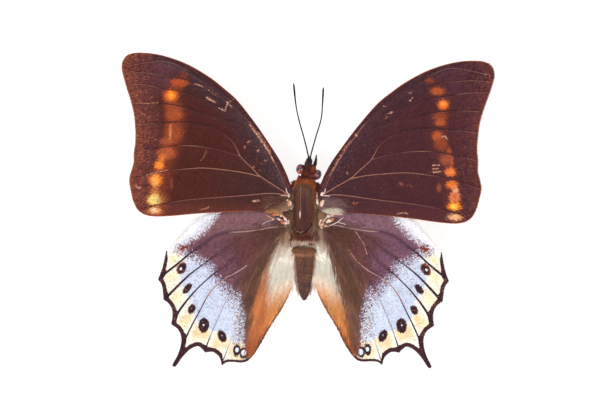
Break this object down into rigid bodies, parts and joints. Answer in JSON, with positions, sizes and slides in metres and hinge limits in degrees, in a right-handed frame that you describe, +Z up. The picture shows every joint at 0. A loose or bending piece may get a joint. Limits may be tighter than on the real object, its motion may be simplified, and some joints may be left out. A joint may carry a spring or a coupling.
{
  "type": "spread butterfly specimen",
  "caption": "Life-size brush-footed butterfly with scalloped, tailed hind wings held open, standing on its walking legs.",
  "frame": {"origin": "middle of the specimen's footprint, on the surface that its feet stand on", "axes": "+X towards the animal's right wing tip, +Y towards its head, +Z up through its back"},
  "size_m": [0.0966, 0.0812, 0.0117],
  "materials": {
    "fore_wing": "matt scales, dark maroon brown with a broken orange band",
    "hind_wing": "matt scales, purple brown to cream and pale blue with dark spots",
    "body_coat": "short brown and rust coloured hair",
    "eye": "smooth and glossy",
    "feeler": "satin black brown horn",
    "leg": "brown scales over horn"
  },
  "bodies": {
    "root": {"head": "body_coat", "thorax": "body_coat", "abdomen": "body_coat", "eye_left": "eye", "eye_right": "eye", "antenna_left": "feeler", "antenna_right": "feeler", "palp_left": "body_coat", "palp_right": "body_coat", "proboscis": "feeler", "forewing_left": "fore_wing", "forewing_right": "fore_wing", "hindwing_left": "hind_wing", "hindwing_right": "hind_wing", "foreleg_left": "leg", "foreleg_right": "leg", "midleg_left": "leg", "midleg_right": "leg", "hindleg_left": "leg", "hindleg_right": "leg"}
  },
  "joints": []
}
